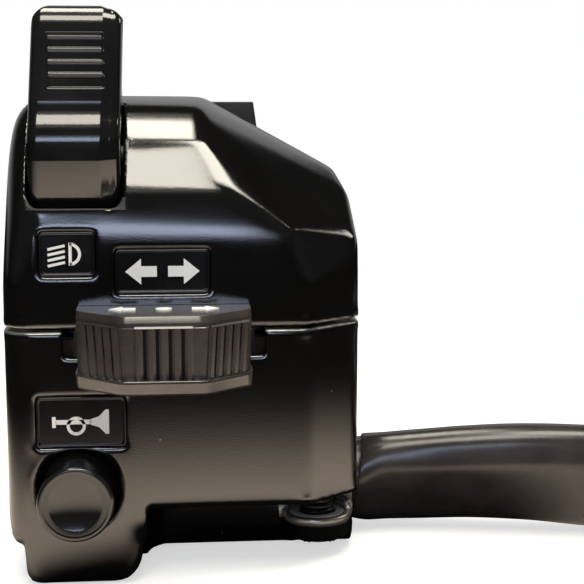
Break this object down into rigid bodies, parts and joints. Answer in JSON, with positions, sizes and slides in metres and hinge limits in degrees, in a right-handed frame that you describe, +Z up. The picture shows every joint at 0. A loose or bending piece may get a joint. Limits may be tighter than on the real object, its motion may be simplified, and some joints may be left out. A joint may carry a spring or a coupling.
{
  "type": "handlebar switch cluster",
  "caption": "Cast two-piece clamp housing for a motorcycle handlebar with a rocking beam lever, ribbed sliding turn knob, dished horn button, flash trigger and sleeved wiring loom.",
  "frame": {"origin": "on the axis of the handlebar bore, half a millimetre left of the middle of the body, in the plane where the two halves part", "axes": "+X along the handlebar towards the middle of the motorcycle, +Y away from the rider, +Z up"},
  "size_m": [0.241, 0.1541, 0.0791],
  "materials": {
    "painted_cast": "satin black paint on die-cast alloy",
    "black_screw": "black oxide steel",
    "label_plastic": "black plastic plate with white printed symbols",
    "gloss_plastic": "glossy black moulded plastic",
    "trigger_plastic": "grained black moulded plastic",
    "knob_plastic": "satin dark grey moulded plastic",
    "phenolic": "brown phenolic board",
    "steel": "bright steel",
    "brass": "bare brass",
    "rubber": "black rubber",
    "pvc_sleeve": "satin black soft PVC sleeve",
    "wire_insulation": "coloured PVC insulation",
    "nylon_tie": "black nylon",
    "connector_plastic": "natural white nylon"
  },
  "bodies": {
    "housing": {"upper_housing": "painted_cast", "lower_housing": "painted_cast", "clamp_screws": "black_screw", "beam_label": "label_plastic", "turn_label": "label_plastic", "horn_label": "label_plastic", "dimmer_pivot_pin": "steel", "dimmer_contact_base": "phenolic", "dimmer_fixed_contacts": "brass", "turn_detent_rail": "steel", "turn_contact_base": "phenolic", "turn_fixed_contacts": "brass", "horn_spring": "steel", "horn_contact_base": "phenolic", "horn_fixed_contact": "brass", "pass_pivot_pin": "steel", "pass_spring": "steel", "pass_contact_leaf": "brass", "cable_grommet": "rubber", "cable_band": "steel", "switch_wires": "wire_insulation", "loom_lead": "pvc_sleeve", "loom_coil": "pvc_sleeve", "loom_tie": "nylon_tie", "loom_wires": "wire_insulation", "loom_plug": "connector_plastic", "plug_terminals": "brass"},
    "beam_lever": {"dimmer_lever": "gloss_plastic", "dimmer_contact_bridge": "brass", "dimmer_detent_ball": "steel", "dimmer_detent_spring": "steel"},
    "turn_slide": {"turn_knob": "knob_plastic", "turn_carriage": "phenolic", "turn_carriage_screw": "steel", "turn_contact_plate": "brass", "turn_detent_ball": "steel", "turn_detent_spring": "steel"},
    "horn_push": {"horn_button": "gloss_plastic", "horn_contact_washer": "brass"},
    "flash_trigger": {"pass_trigger": "trigger_plastic"}
  },
  "joints": [
    {"name": "beam_swing", "type": "hinge", "parent": "housing", "child": "beam_lever", "pos_m": [0, -0.0187, 0.0232], "axis": [-1, 0, 0], "range_deg": [0, 20]},
    {"name": "turn_travel", "type": "slide", "parent": "housing", "child": "turn_slide", "axis": [1, 0, 0], "range_m": [-0.0035, 0.0035]},
    {"name": "horn_press", "type": "slide", "parent": "housing", "child": "horn_push", "axis": [0, 1, 0], "range_m": [0, 0.002], "stiffness_N_per_m": 600, "deforming": ["horn_spring"]},
    {"name": "flash_pull", "type": "hinge", "parent": "housing", "child": "flash_trigger", "pos_m": [0, 0.008, 0.0165], "axis": [1, 0, 0], "range_deg": [0, 8], "stiffness_Nm_per_rad": 0.06, "deforming": ["pass_spring"]}
  ]
}
